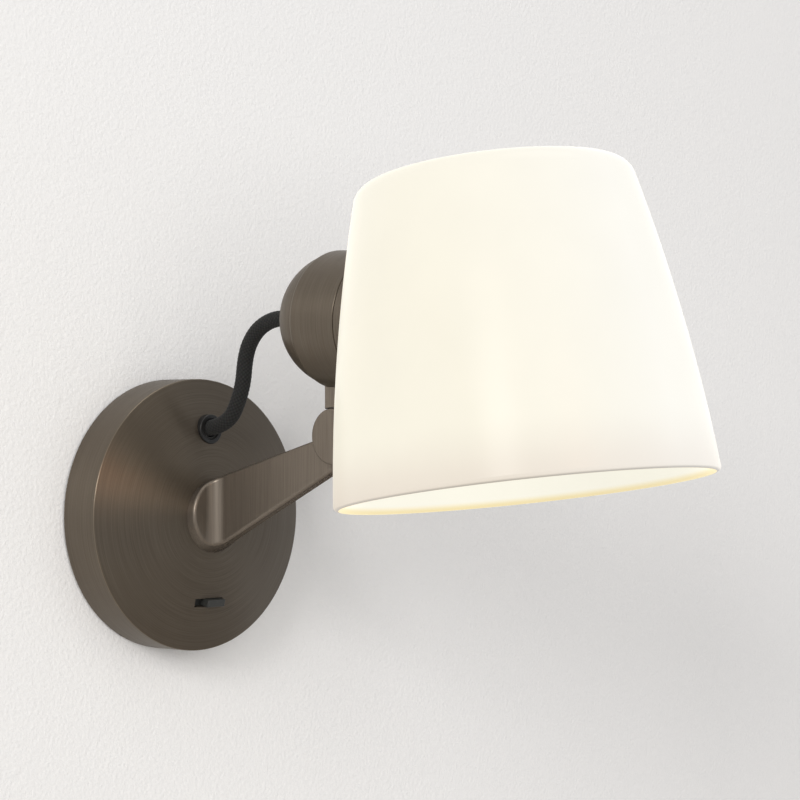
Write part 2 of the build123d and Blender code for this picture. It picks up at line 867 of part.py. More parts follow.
def make_neck_screws():
    one = screw(neck_screw_radius, neck_screw_head_radius, neck_screw_head_height, pad_top, neck_screw_tip)
    return [frame * one for frame in neck_screw_frames()]


# Shade, collar, gasket and the clamp inside the shade

web_back = housing_length - collar_web_inset
shade_hole_radius = sleeve_radius + shade_hole_clearance
saddle_front = shade_seat + shade_wall + saddle_depth
ring_front = saddle_front + ring_thickness
sleeve_back = web_back - sleeve_flange_thickness
spigot_radius = housing_radius - housing_wall - thread_fit
spigot_bore_radius = spigot_radius - spigot_wall
sleeve_flange_radius = spigot_bore_radius - sleeve_flange_clearance
ring_radius = sleeve_flange_radius + ring_overhang
sleeve_front = ring_front + sleeve_lip


def shade_form(grow):
    """The shade's outside as a full solid in its own frame, grown all round."""
    rim = (shade_rim_radius + grow, 0)
    middle = (shade_side(shade_height / 2) + grow, shade_height / 2)
    top = (shade_top_radius + grow, shade_height + grow)
    outline = ThreePointArc(rim, middle, top) + Polyline(top, (0, top[1]), (0, 0), rim)
    return round_rim(turned(outline), shade_top_fillet + grow, top[1])


def make_shade():
    shade = shade_form(0) - shade_form(-shade_wall)
    shade = round_rim(shade, shade_rim_fillet, 0)
    return SHADE * shade - HEAD * rod(shade_hole_radius, web_back, saddle_front)


def make_collar():
    start = housing_length + seam_gap
    ring = tube(housing_radius, shade_hole_radius, start, ring_front)
    ring = round_rim(ring, housing_edge_radius, start, shade_hole_radius)
    spigot = tube(spigot_radius, spigot_bore_radius, housing_length - spigot_length, start)
    web = tube(spigot_radius, shade_hole_radius, web_back, start)
    return HEAD * (ring + spigot + web) - SHADE * shade_form(gasket_thickness)


def make_gasket():
    band = HEAD * tube(housing_radius - gasket_inset, shade_hole_radius, housing_length, ring_front)
    return (band & SHADE * shade_form(gasket_thickness)) - SHADE * shade_form(0)


def make_saddle():
    band = HEAD * tube(sleeve_flange_radius, sleeve_radius + free_clearance, web_back, saddle_front)
    return band & SHADE * shade_form(-shade_wall)


def make_shade_ring():
    ring = tube(ring_radius, sleeve_radius + thread_fit, saddle_front, ring_front)
    for index in range(ring_grip_count):
        notch = Pos(ring_radius, 0) * rod(ring_grip_radius, saddle_front, ring_front)
        ring = ring - Rot(0, 0, 360 / ring_grip_count * index) * notch
    return ring


# Lampholder and bulb, along the head's axis

shell_inner = bulb_cap_radius + 2 * thread_fit
shell_outer = shell_inner + shell_thickness
insert_front = sleeve_back + insert_step
insert_back = insert_front - insert_depth
tip_back = insert_front + contact_thickness
cap_back = tip_back + bulb_tip_length
cap_front = cap_back + bulb_cap_length
body_back = cap_front + bulb_neck_length
body_front = body_back + bulb_body_length


def make_sleeve():
    sleeve = rod(sleeve_radius, sleeve_back, sleeve_front)
    sleeve = sleeve + rod(sleeve_flange_radius, sleeve_back, web_back)
    sleeve = sleeve - rod(insert_radius + thread_fit, sleeve_back, insert_front)
    return sleeve - rod(shell_outer + thread_fit, insert_front, sleeve_front)


def lead_places():
    return [(-lead_offset, 0), (lead_offset, 0)]


def make_holder_cap():
    start = sleeve_back - holder_cap_length
    cap = rod(holder_cap_radius, start, sleeve_back)
    cap = cap - rod(insert_radius + thread_fit, start + holder_cap_wall, sleeve_back)
    return bored(cap, lead_radius + thread_fit, start, start + holder_cap_wall, lead_places())


def make_insert():
    insert = rod(insert_radius, insert_back, insert_front)
    return bored(insert, lead_radius + thread_fit, insert_back, insert_back + insert_step, lead_places())


def make_socket_shell():
    return tube(shell_outer, shell_inner, insert_front, sleeve_front - insert_step)


def make_contact():
    return block(contact_width, contact_height, insert_front, tip_back)


def make_holder_leads():
    cord_end = (head_out - cord_route[-1][0]) / cos(dip)
    lead = rod(lead_radius, thread_fit - cord_end, insert_back + insert_step)
    return [Pos(x, y) * lead for x, y in lead_places()]


def make_bulb_cap():
    return rod(bulb_tip_radius, tip_back, cap_back) + rod(bulb_cap_radius, cap_back, cap_front)


def make_bulb_body():
    return turned(
        Polyline(
            (0, cap_front),
            (bulb_cap_radius, cap_front),
            (bulb_cap_radius, body_back),
            (bulb_body_radius, body_front),
            (0, body_front),
            close=True,
        )
    )


def make_bulb_globe():
    centre = body_front + sqrt(bulb_globe_radius**2 - bulb_body_radius**2)
    mouth = ThreePointArc(
        (bulb_body_radius, body_front), (bulb_globe_radius, centre), (0, centre + bulb_globe_radius)
    )
    inside = Polyline((0, centre + bulb_globe_radius), (0, body_front), (bulb_body_radius, body_front))
    return turned(mouth + inside) - Pos(0, 0, centre) * Sphere(bulb_globe_radius - bulb_globe_wall)


wall_pieces = {
    "wall_bracket": make_bracket(),
    "wall_cover": make_cover(),
    "cover_screws": make_cover_screws(),
    "terminal_block": make_terminal_block(),
    "terminal_clamp_screws": make_clamp_screws(),
    "terminal_fixing_screw": make_block_screw(),
    "earth_stud": make_earth_stud(),
    "earth_nut_and_washer": make_earth_nut(),
    "cable_gland": make_gland(),
    "gland_nut": make_gland_nut(),
    "gland_seal": make_gland_seal(),
    "flex_cord": make_flex(),
    "cord_cores": make_cord_cores(),
    "switch_body": make_switch_body(),
    "switch_slider": make_switch_slider(),
    "switch_screws": make_switch_screws(),
    "switch_pins": make_switch_pins(),
    "switch_leads": make_switch_leads(),
    "arm": make_arm(),
    "arm_backing_plate": make_arm_plate(),
    "arm_screws": make_arm_screws(),
}
hinge_pieces = {
    "hinge_friction_washer": make_friction_washer(),
    "hinge_bolt": make_hinge_bolt(),
    "hinge_bush": make_hinge_bush(),
    "hinge_spring_washer": make_spring_washer(),
    "hinge_cap": make_hinge_cap(),
}
head_pieces = {
    "lamp_housing": make_housing(),
    "cord_bush": make_cord_bush(),
    "neck_screws": make_neck_screws(),
    "shade_clamp_ring": make_shade_ring(),
    "lampholder_sleeve": make_sleeve(),
    "lampholder_cap": make_holder_cap(),
    "lampholder_insert": make_insert(),
    "socket_shell": make_socket_shell(),
    "centre_contact": make_contact(),
    "holder_leads": make_holder_leads(),
    "bulb_cap": make_bulb_cap(),
    "bulb_body": make_bulb_body(),
    "bulb_globe": make_bulb_globe(),
}
placed_pieces = {
    "neck": make_neck(),
    "shade": make_shade(),
    "shade_collar": make_collar(),
    "collar_gasket": make_gasket(),
    "inner_saddle": make_saddle(),
}


def write_node(name, pieces, frame):
    """Write one node, as one solid or as a group of separate solids."""
    group = pieces if isinstance(pieces, list) else [pieces]
    solids = [solid for piece in group for solid in (frame * piece).solids()]
    export_step(solids[0] if len(solids) == 1 else Compound(solids), f"parts/{name}.step")


groups = [(WALL, wall_pieces), (HINGE, hinge_pieces), (HEAD, head_pieces), (Plane.XY, placed_pieces)]
for frame, pieces in groups:
    for name, piece in pieces.items():
        write_node(name, piece, frame)

print("shade lean", round(shade_lean, 2), "slider travel", round(slider_travel, 2))
print("shade rim centre", [round(value, 2) for value in SHADE.origin])
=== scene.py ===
import bpy
import numpy as np
from mathutils import Matrix, Vector


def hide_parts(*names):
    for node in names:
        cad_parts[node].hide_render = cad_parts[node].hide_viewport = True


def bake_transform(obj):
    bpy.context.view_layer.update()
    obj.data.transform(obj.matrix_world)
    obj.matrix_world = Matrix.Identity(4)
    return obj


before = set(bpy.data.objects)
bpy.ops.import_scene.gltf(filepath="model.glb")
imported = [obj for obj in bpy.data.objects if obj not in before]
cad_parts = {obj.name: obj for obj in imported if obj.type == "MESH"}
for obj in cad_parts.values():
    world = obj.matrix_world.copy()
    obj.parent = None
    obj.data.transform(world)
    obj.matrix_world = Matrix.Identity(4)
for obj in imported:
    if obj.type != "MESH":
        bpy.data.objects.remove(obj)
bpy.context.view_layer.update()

# Viewpoint
# The eye is beside the lamp at the height of its arm, about 1.1 m off, with a long lens.
# Its place and direction were solved from the rims of the back plate and of the shade.

eye = Vector((-0.72886, -0.83303, 0.03836))
eye_yaw, eye_pitch, eye_roll = np.radians((46.570, 0.643, -0.089))
focal_pixels, picture_pixels = 2458.2, 800


def eye_turn(yaw, pitch, roll):
    """Camera axes: ahead, turned by the yaw from +Y and lifted by the pitch, with right and up rolled on it."""
    ahead = Vector((np.sin(yaw) * np.cos(pitch), np.cos(yaw) * np.cos(pitch), np.sin(pitch)))
    level = Vector((np.cos(yaw), -np.sin(yaw), 0))
    above = level.cross(ahead)
    right = level * np.cos(roll) + above * np.sin(roll)
    up = above * np.cos(roll) - level * np.sin(roll)
    return Matrix((right, up, -ahead)).transposed()


lens = bpy.data.cameras.new("eye")
lens.sensor_width = 36.0
lens.lens = lens.sensor_width * focal_pixels / picture_pixels
camera = bpy.data.objects.new("eye", lens)
camera.matrix_world = Matrix.Translation(eye) @ eye_turn(eye_yaw, eye_pitch, eye_roll).to_4x4()
bpy.context.scene.collection.objects.link(camera)
bpy.context.scene.camera = camera

# Flex
# A 7 mm mains flex in a black cotton sleeve, braided from two crossing families of yarns.
# It leaves the back plate through the gland and goes into the back of the lamp housing.

flex_route = [
    (0, -0.0190, 0.0378),
    (0, -0.0385, 0.0378),
    (0, -0.0489, 0.0542),
    (0, -0.0507, 0.0710),
    (0, -0.0572, 0.0803),
    (0, -0.0670, 0.0849),
    (0, -0.0776, 0.0853),
    (0, -0.0881, 0.0846),
]
flex_radius = 0.0035
flex_rings_per_run = 70
flex_points_around = 120
yarns_each_way = 12
yarn_half_width = 1 / 1.9
yarn_middle, yarn_swing = 0.62, 0.38
yarn_relief = 0.00022
# The dark tone is painted shade in the gaps between the yarns.
cotton_painted_shade, cotton_light = "#050505", "#343433"
fibre_spacing, fibre_relief = 0.0006, 0.0001
fibre_share = 0.5


def smooth_line(name, route, steps):
    """Points read from a NURBS spline of third order that has the route as its control points."""
    curve = bpy.data.curves.new(name, "CURVE")
    curve.dimensions = "3D"
    curve.resolution_u = steps
    spline = curve.splines.new("NURBS")
    spline.points.add(len(route) - 1)
    spline.points.foreach_set("co", np.insert(np.array(route, float), 3, 1.0, axis=1).ravel())
    spline.order_u = 3
    spline.use_endpoint_u = True
    holder = bpy.data.objects.new(name, curve)
    line = bpy.data.meshes.new_from_object(holder)
    points = np.zeros(len(line.vertices) * 3)
    line.vertices.foreach_get("co", points)
    bpy.data.objects.remove(holder)
    bpy.data.curves.remove(curve)
    bpy.data.meshes.remove(line)
    return points.reshape(-1, 3)


def braid_height(around, along, yarns, spacing):
    """Height from 0 to 1 of a plain braid.

    Each family's yarns lie at whole numbers of around plus or minus along over the spacing, with an
    elliptic top, and rise and fall by a cosine as they pass over and under the other family.
    """
    first = yarns * around + along / spacing
    second = yarns * around - along / spacing
    height = []
    for own, other, sign in ((first, second, 1), (second, first, -1)):
        whole = np.round(own)
        top = np.sqrt(np.clip(1 - ((own - whole) / yarn_half_width) ** 2, 0, 1))
        over = sign * np.cos(np.pi * whole) * np.cos(np.pi * other)
        height.append(top * (yarn_middle + yarn_swing * over))
    return np.maximum(*height)


def braided_sleeve(points, radius):
    """Tube round a line in the plane x = 0: a circle across it at each point, its radius cut by the braid."""
    ahead = np.gradient(points, axis=0)
    ahead /= np.linalg.norm(ahead, axis=1, keepdims=True)
    aside = np.array((1.0, 0.0, 0.0))
    above = np.cross(ahead, aside)
    along = np.insert(np.cumsum(np.linalg.norm(np.diff(points, axis=0), axis=1)), 0, 0.0)
    around = np.arange(flex_points_around) / flex_points_around
    height = braid_height(around[None], along[:, None], yarns_each_way, 2 * np.pi * radius / yarns_each_way)
    reach = radius - yarn_relief * (1 - height)
    angle = 2 * np.pi * around
    out = np.cos(angle)[None, :, None] * aside + np.sin(angle)[None, :, None] * above[:, None]
    return points[:, None] + reach[..., None] * out, height, along


def grid_piece(name, places, closed_rows=True, closed_ends=True):
    """Mesh of a grid of points: quads between neighbours, rows closed to rings, one face over each end ring."""
    rows, ring = places.shape[:2]
    index = np.arange(rows * ring).reshape(rows, ring)
    near, far = index[:-1], index[1:]
    faces = np.stack([near, np.roll(near, -1, 1), np.roll(far, -1, 1), far], -1)
    faces = (faces if closed_rows else faces[:, :-1]).reshape(-1, 4).tolist()
    if closed_ends:
        faces += [index[0, ::-1].tolist(), index[-1].tolist()]
    mesh = bpy.data.meshes.new(name)
    mesh.from_pydata(places.reshape(-1, 3), [], faces)
    mesh.shade_smooth()
    piece = bpy.data.objects.new(name, mesh)
    bpy.context.scene.collection.objects.link(piece)
    return piece


def point_values(piece, name, values):
    """Store one number for each point of a piece under a name that its material reads."""
    layer = piece.data.attributes.new(name, "FLOAT", "POINT")
    layer.data.foreach_set("value", np.asarray(values, np.float32).ravel())


def colour(text):
    """Linear colour of an sRGB hex value: the sRGB curve undone for each channel."""
    value = np.array([int(text[i : i + 2], 16) for i in (1, 3, 5)]) / 255
    value = np.where(value <= 0.04045, value / 12.92, ((value + 0.055) / 1.055) ** 2.4)
    return (*value.tolist(), 1.0)


def add_node(tree, kind, inputs=None, **settings):
    """One node of a kind with its settings, each input given as a value or as the socket that feeds it."""
    node = tree.nodes.new(kind)
    for name, value in settings.items():
        setattr(node, name, value)
    for name, value in (inputs or {}).items():
        if isinstance(value, bpy.types.NodeSocket):
            tree.links.new(value, node.inputs[name])
        else:
            node.inputs[name].default_value = value
    return node


def object_place(tree):
    """The place on a piece in the lamp's own frame, in metres."""
    return add_node(tree, "ShaderNodeTexCoord").outputs["Object"]


def noise(tree, place, spacing, detail=2.0):
    """Outputs of a noise whose features lie about one spacing apart."""
    inputs = {"Vector": place, "Scale": 1 / spacing, "Detail": detail}
    return add_node(tree, "ShaderNodeTexNoise", inputs).outputs


def mixed(tree, amount, first, second, blend="MIX"):
    """A colour between two: the first where the amount is 0, the second where it is 1."""
    inputs = {0: amount, 6: first, 7: second}
    return add_node(tree, "ShaderNodeMix", inputs, data_type="RGBA", blend_type=blend).outputs[2]


def ramp(tree, value, start, end, low=0.0, high=1.0, kind="LINEAR"):
    """A number that is low up to the start, high from the end on, and straight or smooth between them."""
    inputs = {"Value": value, "From Min": start, "From Max": end, "To Min": low, "To Max": high}
    return add_node(tree, "ShaderNodeMapRange", inputs, interpolation_type=kind).outputs["Result"]


def relief(tree, height, depth, strength):
    """Normals tilted by a height pattern of the given depth."""
    inputs = {"Strength": strength, "Distance": depth, "Height": height}
    return add_node(tree, "ShaderNodeBump", inputs).outputs["Normal"]


def new_finish(name, **inputs):
    """A material with one Principled shader, whose plain values are given by the sockets' names."""
    finish = bpy.data.materials.new(name)
    finish.use_nodes = True
    tree = finish.node_tree
    shader = tree.nodes["Principled BSDF"]
    for socket, value in inputs.items():
        shader.inputs[socket.replace("_", " ")].default_value = value
    return finish, tree, shader


def feed(tree, shader, **sockets):
    """Join outputs of nodes to the shader's sockets, given by their names."""
    for socket, output in sockets.items():
        tree.links.new(output, shader.inputs[socket.replace("_", " ")])


def give(finish, *names):
    """Put one material on these pieces."""
    for name in names:
        piece = bpy.data.objects[name]
        piece.data.materials.clear()
        piece.data.materials.append(finish)


def braided_cotton():
    """Black cotton yarn: matt, with a soft sheen, with painted shade between the yarns, and specked by its
    fibres.
    """
    finish, tree, shader = new_finish(
        "black_cotton_braided", Roughness=0.85, Sheen_Weight=0.06, Sheen_Roughness=0.5, Specular_IOR_Level=0.2
    )
    fibres = noise(tree, object_place(tree), fibre_spacing)
    height = add_node(tree, "ShaderNodeAttribute", attribute_name="yarn_height").outputs["Fac"]
    # Painted shade: the colour darkens from the tops of the yarns down into the gaps between them.
    tone = mixed(tree, height, colour(cotton_painted_shade), colour(cotton_light))
    tone = mixed(tree, fibre_share, tone, fibres["Color"], "MULTIPLY")
    feed(tree, shader, Base_Color=tone, Normal=relief(tree, fibres["Fac"], fibre_relief, strength=0.5))
    return finish


flex_line = smooth_line("flex_line", flex_route, flex_rings_per_run)
sleeve_places, sleeve_height, sleeve_along = braided_sleeve(flex_line, flex_radius)
flex = grid_piece("flex_braid", sleeve_places)
point_values(flex, "yarn_height", sleeve_height)
flex.data.materials.append(braided_cotton())
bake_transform(flex)
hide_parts("flex_cord")

# Wall bracket
# A disc of 2 mm steel, pressed with two bent tabs, slotted for two wall screws and zinc plated.
# The same plated steel is used for the small screws, the arm's backing plate and the hinge bolt.

zinc_dark, zinc_light = "#b4b8bd", "#cfd1d2"
zinc_crystal = 0.003


def zinc_plated_steel():
    """Zinc plate: a cool bright metal whose crystals, about 3 mm across, differ a little in tone and gloss."""
    finish, tree, shader = new_finish("steel_zinc_plated", Metallic=1.0)
    inputs = {"Vector": object_place(tree), "Scale": 1 / zinc_crystal}
    crystals = add_node(tree, "ShaderNodeTexVoronoi", inputs).outputs["Distance"]
    tone = mixed(tree, crystals, colour(zinc_dark), colour(zinc_light))
    feed(tree, shader, Base_Color=tone, Roughness=ramp(tree, crystals, 0, 1, low=0.28, high=0.44))
    return finish


plated_steel = zinc_plated_steel()
give(plated_steel, "wall_bracket", "arm_backing_plate", "arm_screws", "hinge_bolt", "hinge_spring_washer")
give(plated_steel, "neck_screws", "terminal_fixing_screw", "switch_screws")

# Terminal block, earth stud and wires
# A moulded three-pole block on the bracket with brass clamps, and a brass stud and nut for the earth wire.
# The flex's cores and the switch's leads are copper in a skin of coloured PVC.

mould_grain, mould_relief = 0.0004, 0.00004
wire_brown, wire_blue = "#5a3420", "#23507e"
wire_patch = 0.002


def moulded_plastic(name, tone, roughness):
    """Injection-moulded plastic: satin, with the fine spark-eroded grain of its mould, drawn 0.4 mm apart."""
    finish, tree, shader = new_finish(name, Roughness=roughness, IOR=1.53, Base_Color=colour(tone))
    grain = noise(tree, object_place(tree), mould_grain)["Fac"]
    feed(tree, shader, Normal=relief(tree, grain, mould_relief, strength=0.25))
    return finish


def mottled_metal(name, spacing, dark, light, smooth, rough):
    """Bare or oxidised metal: noise at a spacing moves its tone from dark to light, and its roughness."""
    finish, tree, shader = new_finish(name, Metallic=1.0)
    marks = noise(tree, object_place(tree), spacing)["Fac"]
    tone = mixed(tree, marks, colour(dark), colour(light))
    feed(tree, shader, Base_Color=tone, Roughness=ramp(tree, marks, 0, 1, smooth, rough))
    return finish


def arithmetic(tree, operation, *values, clamp=False):
    """Result of one sum on numbers."""
    inputs = dict(enumerate(values))
    return add_node(tree, "ShaderNodeMath", inputs, operation=operation, use_clamp=clamp).outputs["Value"]


def parts_of(tree, place):
    """The three numbers of a place, by the names of the axes."""
    return add_node(tree, "ShaderNodeSeparateXYZ", {"Vector": place}).outputs


def paired_wire():
    """Extruded PVC on a pair of wires: brown on the left, blue on the right, waxy in patches 2 mm across."""
    finish, tree, shader = new_finish("pvc_wire_brown_and_blue", IOR=1.54)
    place = object_place(tree)
    right = arithmetic(tree, "GREATER_THAN", parts_of(tree, place)["X"], 0.0)
    tone = mixed(tree, right, colour(wire_brown), colour(wire_blue))
    wax = noise(tree, place, wire_patch)["Fac"]
    feed(tree, shader, Base_Color=tone, Roughness=ramp(tree, wax, 0, 1, low=0.3, high=0.5))
    return finish


black_nylon = moulded_plastic("black_nylon_moulded", "#121212", 0.5)
brass = mottled_metal("brass_turned", 0.0012, "#b08d45", "#d8bb76", 0.22, 0.42)
give(black_nylon, "terminal_block")
give(brass, "terminal_clamp_screws", "earth_stud", "earth_nut_and_washer", "switch_pins", "hinge_bush")
give(brass, "centre_contact", "socket_shell")
give(paired_wire(), "cord_cores", "switch_leads", "holder_leads")

# Back plate
# A cup turned from sheet, with a low dome on the front, brushed on the lathe and given a bronze finish.
# A thin painted highlight runs along its front edge. Two grub screws in the rim hold it on the wall bracket.

# The third tone is a painted highlight: the thin line of light along rounded edges and creases.
bronze_dark, bronze_light, bronze_edge_highlight = colour("#5e554a"), colour("#6c6357"), colour("#9c8f7c")
bronze_metal = 0.75
bronze_patch, bronze_patch_share = 0.05, 0.15
bronze_rough, bronze_smooth = 0.42, 0.34
bronze_groove = 0.00002
brush_detail = 3.0
lathe_line = 0.0004
lathe_arc = 1 / 1.4
# Width and strength of that painted highlight line.
edge_highlight_width, edge_highlight_share = 0.0005, 0.4
cover_edge = 0.0395


def vector_step(tree, operation, *vectors):
    """Result of one sum on places: a number for a length, and a place for all others."""
    node = add_node(tree, "ShaderNodeVectorMath", dict(enumerate(vectors)), operation=operation)
    return node.outputs["Value" if operation == "LENGTH" else "Vector"]


def turned_place(tree, centre, turn):
    """The place on a piece as seen from a centre, in axes turned about X."""
    inputs = {"Vector": object_place(tree), "Location": centre, "Rotation": (turn, 0, 0)}
    return add_node(tree, "ShaderNodeMapping", inputs, vector_type="TEXTURE").outputs["Vector"]


def brush_streaks(tree, place, spacing):
    """Brush marks from 0 to 1: noise with its own spacing along each axis."""
    spot = vector_step(tree, "MULTIPLY", place, tuple(1 / step for step in spacing))
    return ramp(tree, noise(tree, spot, 1.0, brush_detail)["Fac"], 0.25, 0.75)


def bronze_coat(tree, shader, streaks, place, dark, light, painted_edge_highlight=None):
    """Tone, gloss and grooves of the bronze from its streaks, with slow patina, and a painted edge highlight if
    given.
    """
    patina = noise(tree, place, bronze_patch, brush_detail)["Fac"]
    mottle = ramp(tree, patina, 0.3, 0.7, low=-bronze_patch_share, high=bronze_patch_share)
    tone = mixed(tree, arithmetic(tree, "ADD", streaks, mottle, clamp=True), dark, light)
    if painted_edge_highlight is not None:
        tone = mixed(tree, painted_edge_highlight, tone, bronze_edge_highlight)
    gloss = ramp(tree, streaks, 0, 1, bronze_rough, bronze_smooth)
    grooves = relief(tree, streaks, bronze_groove, strength=0.15)
    feed(tree, shader, Base_Color=tone, Roughness=gloss, Normal=grooves)


def lathe_bronze(name, centre, dip, facing, edge):
    """Bronze brushed on the lathe about an axis through a centre, parallel to Y but for a dip.

    The streaks are noise over the direction round the axis, a few to the turn, and over the distance along
    the outline, which is the radius plus the height along the axis. A painted highlight line follows one such
    distance.
    """
    finish, tree, shader = new_finish(name, Metallic=bronze_metal, Anisotropic=0.8, Anisotropic_Rotation=0.25)
    place = turned_place(tree, centre, dip)
    across = vector_step(tree, "MULTIPLY", place, (1, 0, 1))
    around = vector_step(tree, "NORMALIZE", across)
    radius = vector_step(tree, "LENGTH", across)
    along = arithmetic(tree, "MULTIPLY_ADD", parts_of(tree, place)["Y"], facing, radius)
    lift = add_node(tree, "ShaderNodeCombineXYZ", {"Y": along}).outputs["Vector"]
    streaks = brush_streaks(tree, vector_step(tree, "ADD", around, lift), (lathe_arc, lathe_line, lathe_arc))
    # Painted highlight: a thin lighter line where the outline distance meets the edge or crease.
    off_edge = arithmetic(tree, "ABSOLUTE", arithmetic(tree, "SUBTRACT", along, edge))
    painted_edge_highlight = ramp(tree, off_edge, 0, edge_highlight_width, low=edge_highlight_share, high=0.0, kind="SMOOTHSTEP")
    bronze_coat(tree, shader, streaks, place, bronze_dark, bronze_light, painted_edge_highlight)
    tangent = add_node(tree, "ShaderNodeTangent", direction_type="RADIAL", axis="Y")
    feed(tree, shader, Tangent=tangent.outputs["Tangent"])
    return finish


give(lathe_bronze("bronze_lathe_brushed", (0, 0, 0), 0.0, 1.0, cover_edge), "wall_cover")
give(mottled_metal("steel_blackened", 0.0010, "#2a2724", "#3f3932", 0.32, 0.48), "cover_screws")

# Cable gland
# A moulded nylon bush through the plate, held by a nut behind it, with a rubber seal that grips the flex.
# The same rubber makes the bush in the housing, the gasket of the collar and the hinge's friction washer.

black_rubber = moulded_plastic("black_rubber_moulded", "#1b1b1b", 0.75)
give(black_nylon, "cable_gland", "gland_nut")
give(black_rubber, "gland_seal", "collar_gasket", "hinge_friction_washer", "cord_bush")

# Slide switch
# A moulded nylon switch, screwed behind a slot in the plate.
# Its black ABS paddle stands a little proud of the slot and slides to the left.

give(black_nylon, "switch_body")
give(moulded_plastic("black_abs_moulded", "#30312f", 0.42), "switch_slider")

# Arm and neck
# Cast zinc with filed edges, brushed by belt along its height before the bronze finish.
# The arm is screwed to the plate from behind, and the neck to the housing from inside.

belt_dark, belt_light, belt_edge = colour("#766d63"), colour("#847b70"), colour("#4a443e")
belt_line = 0.0006
belt_run = 0.03


def belt_bronze(name):
    """Bronze brushed by belt: noise drawn out along Z, so that the streaks are fine across and long upwards."""
    finish, tree, shader = new_finish(
        name, Metallic=bronze_metal, Specular_IOR_Level=0.15, Specular_Tint=belt_edge
    )
    place = object_place(tree)
    streaks = brush_streaks(tree, place, (belt_line, belt_line, belt_run))
    bronze_coat(tree, shader, streaks, place, belt_dark, belt_light)
    return finish


give(belt_bronze("bronze_belt_brushed"), "arm", "neck", "hinge_cap")

# Lamp housing and collar
# A turned drum with a domed back, and a ring that follows the side of the shade.
# Both are brushed on the lathe about the head's axis, which dips a little from level.

head_centre = (0, -0.10834, 0.08355)
head_dip = float(np.radians(2.87))
housing_crease = 0.02725
collar_edge = 0.0539
# Each gets the painted highlight line: the housing at the crease of its dome, the collar at its front edge.
give(lathe_bronze("bronze_lathe_brushed_housing", head_centre, head_dip, -1.0, housing_crease), "lamp_housing")
give(lathe_bronze("bronze_lathe_brushed_collar", head_centre, head_dip, -1.0, collar_edge), "shade_collar")

# Shade
# A cup of white porcelain, cast 4 mm thick and glazed all over, with a hole in its side for the lampholder.
# The bulb's light through its wall is painted as a glow, strongest near the bulb, warm on its inside, with
# painted shade on its right side.

shade_foot = (0, -0.21102, 0.01313)
shade_lean = float(np.radians(-8.04))
shade_mid_radius, shade_mid_slope, shade_mid_curve = 0.0738, -0.1, -0.57
shade_roof = 0.124
glaze = "#676562"
glow_left_side, glow_middle = -0.065, 0.0
# Painted shade: the glow falls off over this span on the right side.
shaded_right_start, shaded_right_side, shaded_right_share = 0.035, 0.08, 0.93
glow_foot, glow_full = -0.004, 0.026
glow_high_left, glow_high = "#f0ebd9", "#f9f7ef"
glow_low_left, glow_low = "#dfd4c5", "#efe9e1"
lip_start, lip_end = 0.0003, 0.0033
lip_tone, inside_tone = "#f5e3ac", "#fbf8e9"
rim_width, rim_share = 0.001, 0.5
cast_patch = 0.03
cast_dim, cast_bright = 0.865, 0.925


def glazed_porcelain():
    """White glaze over a translucent body, its light from the bulb painted as a glow: dimmer at the rim, warm on
    the inner face, with painted shade on the right side.

    The inner face is where the radius is less than a parabola of the height that runs midway in the wall. The
    light is uneven by a few parts in a hundred, as the cast wall is.
    """
    finish, tree, shader = new_finish(
        "porcelain_white_glazed", Roughness=0.3, IOR=1.52, Specular_IOR_Level=0.12, Base_Color=colour(glaze)
    )
    place = turned_place(tree, shade_foot, shade_lean)
    aside, _, height = parts_of(tree, place)
    middle = ramp(tree, aside, glow_left_side, glow_middle)
    high = mixed(tree, middle, colour(glow_high_left), colour(glow_high))
    low = mixed(tree, middle, colour(glow_low_left), colour(glow_low))
    outer = mixed(tree, ramp(tree, height, glow_foot, glow_full, kind="SMOOTHSTEP"), low, high)
    radius = vector_step(tree, "LENGTH", vector_step(tree, "MULTIPLY", place, (1, 1, 0)))
    slope = arithmetic(tree, "MULTIPLY_ADD", height, shade_mid_curve, shade_mid_slope)
    mid_wall = arithmetic(tree, "MULTIPLY_ADD", height, slope, shade_mid_radius)
    within = arithmetic(tree, "LESS_THAN", radius, mid_wall)
    inside = arithmetic(tree, "MULTIPLY", within, arithmetic(tree, "LESS_THAN", height, shade_roof))
    lip = ramp(tree, height, lip_start, lip_end, kind="SMOOTHSTEP")
    inner = mixed(tree, lip, colour(lip_tone), colour(inside_tone))
    uneven = ramp(tree, noise(tree, place, cast_patch)["Fac"], 0, 1, cast_dim, cast_bright)
    rim = ramp(tree, height, 0, rim_width, low=rim_share, kind="SMOOTHSTEP")
    # Painted shade: the glow dims on the right side, away from the light from the left.
    right = ramp(tree, aside, shaded_right_start, shaded_right_side, 1.0, shaded_right_share, kind="SMOOTHSTEP")
    strength = arithmetic(tree, "MULTIPLY", uneven, arithmetic(tree, "MAXIMUM", inside, rim))
    strength = arithmetic(tree, "MULTIPLY", strength, right)
    feed(tree, shader, Emission_Color=mixed(tree, inside, outer, inner), Emission_Strength=strength)
    return finish


give(glazed_porcelain(), "shade")

# Lampholder
# A moulded holder clamps the shade between the collar and a ring screwed on from inside.
# A pressed ceramic insert carries the brass shell and contact.

give(black_nylon, "inner_saddle", "shade_clamp_ring", "lampholder_sleeve", "lampholder_cap")
give(moulded_plastic("steatite_pressed", "#dcd8cc", 0.7), "lampholder_insert")

# Bulb
# An LED bulb, screwed into the holder: a rolled cap, a white plastic body and a globe of opal glass.
# The globe glows, most at its front.

globe_tone, globe_glow = "#d8d4c8", "#ffe9c4"
globe_back, globe_front = -0.17, -0.215
globe_dim, globe_bright = 0.9, 1.5
frost_patch = 0.004


